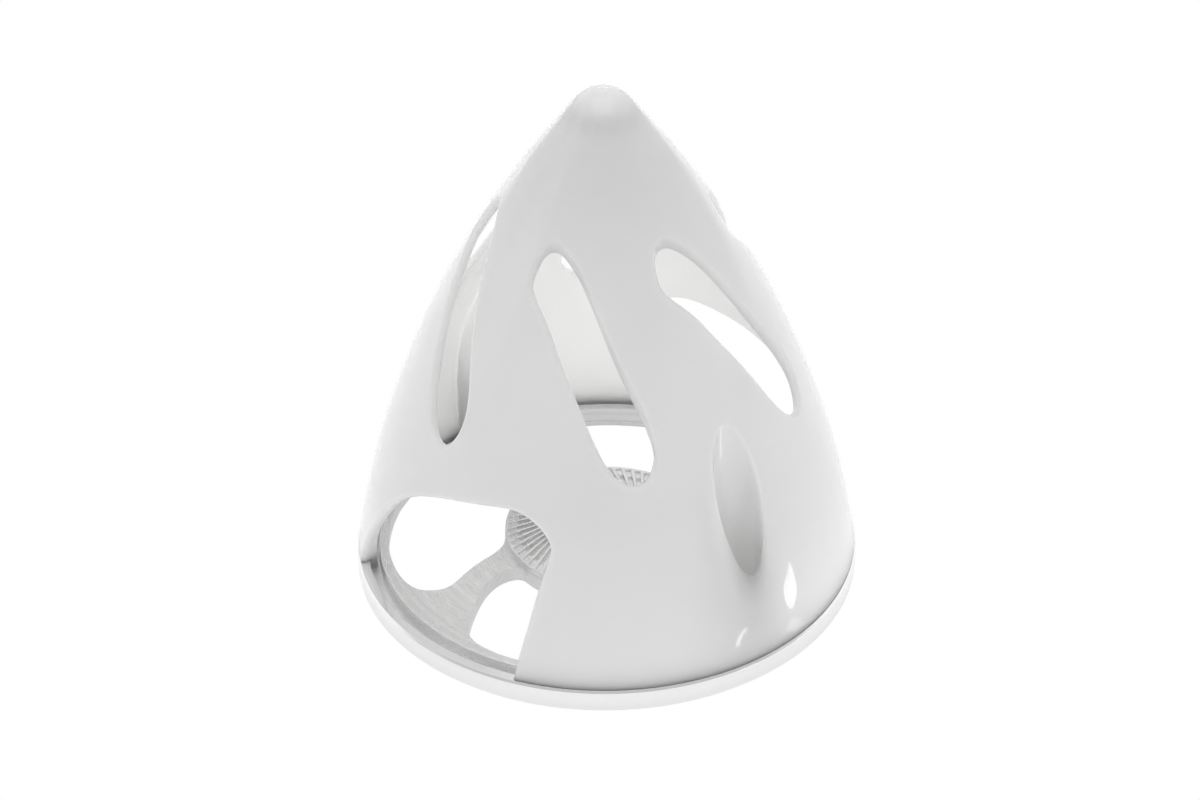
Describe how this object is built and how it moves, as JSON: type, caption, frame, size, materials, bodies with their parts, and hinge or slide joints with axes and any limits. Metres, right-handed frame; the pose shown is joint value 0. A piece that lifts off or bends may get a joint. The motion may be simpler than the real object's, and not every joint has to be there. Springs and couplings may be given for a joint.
{
  "type": "propeller spinner",
  "caption": "Ventilated propeller spinner: glossy domed cone with swirled cooling slots, blade openings and screw pockets, seated on a turned metal backplate with swirled spokes.",
  "frame": {"origin": "centre of the backplate's rear face, on the shaft axis", "axes": "+Z forward along the shaft to the nose, +X and -X through the two blade openings"},
  "size_m": [0.0634, 0.0634, 0.0666],
  "materials": {
    "nose_cone": "smooth glossy white moulding",
    "backplate": "fine turned, bright",
    "cone_screws": "plain steel"
  },
  "bodies": {
    "root": {"nose_cone": "nose_cone", "backplate": "backplate", "cone_screws": "cone_screws"}
  },
  "joints": []
}
